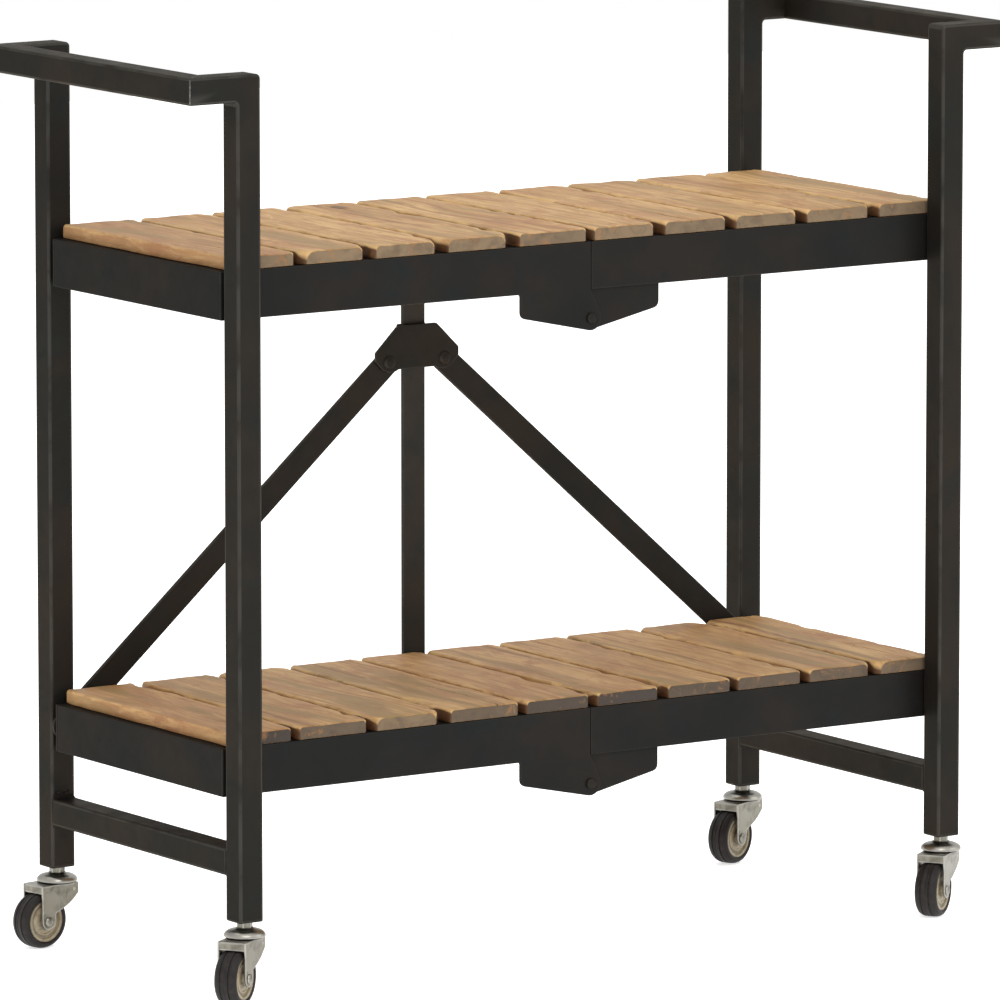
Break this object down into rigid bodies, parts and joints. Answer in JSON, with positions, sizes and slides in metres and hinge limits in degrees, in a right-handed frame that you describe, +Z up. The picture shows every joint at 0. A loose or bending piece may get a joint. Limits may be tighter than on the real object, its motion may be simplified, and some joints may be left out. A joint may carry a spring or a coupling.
{
  "type": "folding bar cart",
  "caption": "Folding bar cart: tube end frames with handles on swivel casters, slatted wooden shelves hinged in the middle, and a rear brace with a sliding collar.",
  "frame": {"origin": "on the floor, under the middle of the cart's box with its front casters turned as they stand", "axes": "+X along the cart to the right-hand handle, +Y from the front to the rear side with the braces, +Z up"},
  "size_m": [0.87, 0.3669, 0.814],
  "materials": {
    "frame_steel": "blackened steel under satin lacquer, worn bright on edges",
    "plank_wood": "rough-sawn reclaimed hardwood under a matt oil",
    "caster_zinc": "bright zinc plating",
    "caster_wheel": "black rubber tread on a moulded hub",
    "caster_hub": "moulded hub, warm grey",
    "bolt_steel": "zinc-plated bolts and nuts"
  },
  "bodies": {
    "left_end": {"caster_front_left_stem": "caster_zinc", "caster_rear_left_stem": "caster_zinc", "handle_left": "frame_steel", "leg_front_left": "frame_steel", "leg_rear_left": "frame_steel", "lower_front_left_pivot_bolt": "bolt_steel", "lower_rear_left_pivot_bolt": "bolt_steel", "stretcher_left": "frame_steel", "upper_front_left_pivot_bolt": "bolt_steel", "upper_rear_left_pivot_bolt": "bolt_steel"},
    "upper_left_half": {"upper_frame_left": "frame_steel", "upper_front_hinge_pin": "frame_steel", "upper_left_plank_1": "plank_wood", "upper_left_plank_2": "plank_wood", "upper_left_plank_3": "plank_wood", "upper_left_plank_4": "plank_wood", "upper_left_plank_5": "plank_wood", "upper_rear_hinge_pin": "frame_steel"},
    "upper_right_half": {"upper_frame_right": "frame_steel", "upper_right_plank_1": "plank_wood", "upper_right_plank_2": "plank_wood", "upper_right_plank_3": "plank_wood", "upper_right_plank_4": "plank_wood", "upper_right_plank_5": "plank_wood"},
    "right_end": {"caster_front_right_stem": "caster_zinc", "caster_rear_right_stem": "caster_zinc", "handle_right": "frame_steel", "leg_front_right": "frame_steel", "leg_rear_right": "frame_steel", "lower_front_right_pivot_bolt": "bolt_steel", "lower_rear_right_pivot_bolt": "bolt_steel", "stretcher_right": "frame_steel", "upper_front_right_pivot_bolt": "bolt_steel", "upper_rear_right_pivot_bolt": "bolt_steel"},
    "lower_left_half": {"lower_frame_left": "frame_steel", "lower_front_hinge_pin": "frame_steel", "lower_left_plank_1": "plank_wood", "lower_left_plank_2": "plank_wood", "lower_left_plank_3": "plank_wood", "lower_left_plank_4": "plank_wood", "lower_left_plank_5": "plank_wood", "lower_rear_hinge_pin": "frame_steel"},
    "lower_right_half": {"lower_frame_right": "frame_steel", "lower_right_plank_1": "plank_wood", "lower_right_plank_2": "plank_wood", "lower_right_plank_3": "plank_wood", "lower_right_plank_4": "plank_wood", "lower_right_plank_5": "plank_wood"},
    "post": {"centre_post": "frame_steel"},
    "collar": {"brace_collar": "frame_steel"},
    "left_brace": {"brace_left": "frame_steel"},
    "right_brace": {"brace_right": "frame_steel"},
    "caster_front_left_swivel": {"caster_front_left_fork": "caster_zinc"},
    "caster_front_left_roll": {"caster_front_left_wheel": "caster_wheel"},
    "caster_rear_left_swivel": {"caster_rear_left_fork": "caster_zinc"},
    "caster_rear_left_roll": {"caster_rear_left_wheel": "caster_wheel"},
    "caster_front_right_swivel": {"caster_front_right_fork": "caster_zinc"},
    "caster_front_right_roll": {"caster_front_right_wheel": "caster_wheel"},
    "caster_rear_right_swivel": {"caster_rear_right_fork": "caster_zinc"},
    "caster_rear_right_roll": {"caster_rear_right_wheel": "caster_wheel"}
  },
  "joints": [
    {"name": "fold", "type": "hinge", "parent": "left_end", "child": "upper_left_half", "pos_m": [-0.375, 0.01149, 0.61925], "axis": [0, -1, 0], "range_deg": [0, 86]},
    {"name": "upper_centre_hinge", "type": "hinge", "parent": "upper_left_half", "child": "upper_right_half", "pos_m": [0, 0.01149, 0.572], "axis": [0, -1, 0], "range_deg": [-172, 0]},
    {"name": "upper_right_pivot", "type": "hinge", "parent": "upper_right_half", "child": "right_end", "pos_m": [0.375, 0.01149, 0.61925], "axis": [0, -1, 0], "range_deg": [0, 86]},
    {"name": "lower_left_pivot", "type": "hinge", "parent": "left_end", "child": "lower_left_half", "pos_m": [-0.375, 0.01149, 0.20095], "axis": [0, -1, 0], "range_deg": [0, 86]},
    {"name": "lower_centre_hinge", "type": "hinge", "parent": "lower_left_half", "child": "lower_right_half", "pos_m": [0, 0.01149, 0.1537], "axis": [0, -1, 0], "range_deg": [-172, 0]},
    {"name": "post_pivot", "type": "hinge", "parent": "upper_left_half", "child": "post", "pos_m": [0, 0.15669, 0.572], "axis": [0, -1, 0], "range_deg": [-86, 0]},
    {"name": "collar_slide", "type": "slide", "parent": "post", "child": "collar", "axis": [0, 0, 1], "range_m": [-0.2635, 0]},
    {"name": "left_brace_pivot", "type": "hinge", "parent": "left_end", "child": "left_brace", "pos_m": [-0.375, 0.15669, 0.20095], "axis": [0, -1, 0], "range_deg": [0, 43.43]},
    {"name": "right_brace_pivot", "type": "hinge", "parent": "right_end", "child": "right_brace", "pos_m": [0.375, 0.15669, 0.20095], "axis": [0, -1, 0], "range_deg": [-43.43, 0]},
    {"name": "front_left_caster_swivel", "type": "hinge", "parent": "left_end", "child": "caster_front_left_swivel", "pos_m": [-0.375, -0.14601, 0.0715], "axis": [0, 0, 1], "continuous": true},
    {"name": "front_left_wheel_roll", "type": "hinge", "parent": "caster_front_left_swivel", "child": "caster_front_left_roll", "pos_m": [-0.39241, -0.15775, 0.025], "axis": [-0.5592, 0.829, 0], "continuous": true},
    {"name": "rear_left_caster_swivel", "type": "hinge", "parent": "left_end", "child": "caster_rear_left_swivel", "pos_m": [-0.375, 0.16899, 0.0715], "axis": [0, 0, 1], "continuous": true},
    {"name": "rear_left_wheel_roll", "type": "hinge", "parent": "caster_rear_left_swivel", "child": "caster_rear_left_roll", "pos_m": [-0.39574, 0.16571, 0.025], "axis": [-0.1564, 0.9877, 0], "continuous": true},
    {"name": "front_right_caster_swivel", "type": "hinge", "parent": "right_end", "child": "caster_front_right_swivel", "pos_m": [0.375, -0.14601, 0.0715], "axis": [0, 0, 1], "continuous": true},
    {"name": "front_right_wheel_roll", "type": "hinge", "parent": "caster_front_right_swivel", "child": "caster_front_right_roll", "pos_m": [0.3578, -0.15805, 0.025], "axis": [-0.5736, 0.8192, 0], "continuous": true},
    {"name": "rear_right_caster_swivel", "type": "hinge", "parent": "right_end", "child": "caster_rear_right_swivel", "pos_m": [0.375, 0.16899, 0.0715], "axis": [0, 0, 1], "continuous": true},
    {"name": "rear_right_wheel_roll", "type": "hinge", "parent": "caster_rear_right_swivel", "child": "caster_rear_right_roll", "pos_m": [0.35553, 0.16113, 0.025], "axis": [-0.3746, 0.9272, 0], "continuous": true}
  ],
  "couplings": [
    {"joint": "upper_centre_hinge", "follows": "fold", "ratio": -2},
    {"joint": "upper_right_pivot", "follows": "fold", "ratio": 1},
    {"joint": "lower_left_pivot", "follows": "fold", "ratio": 1},
    {"joint": "lower_centre_hinge", "follows": "fold", "ratio": -2},
    {"joint": "post_pivot", "follows": "fold", "ratio": -1},
    {"joint": "collar_slide", "follows": "fold", "m_per_rad": -0.1755},
    {"joint": "left_brace_pivot", "follows": "fold", "ratio": 0.50492},
    {"joint": "right_brace_pivot", "follows": "fold", "ratio": -0.50492}
  ]
}
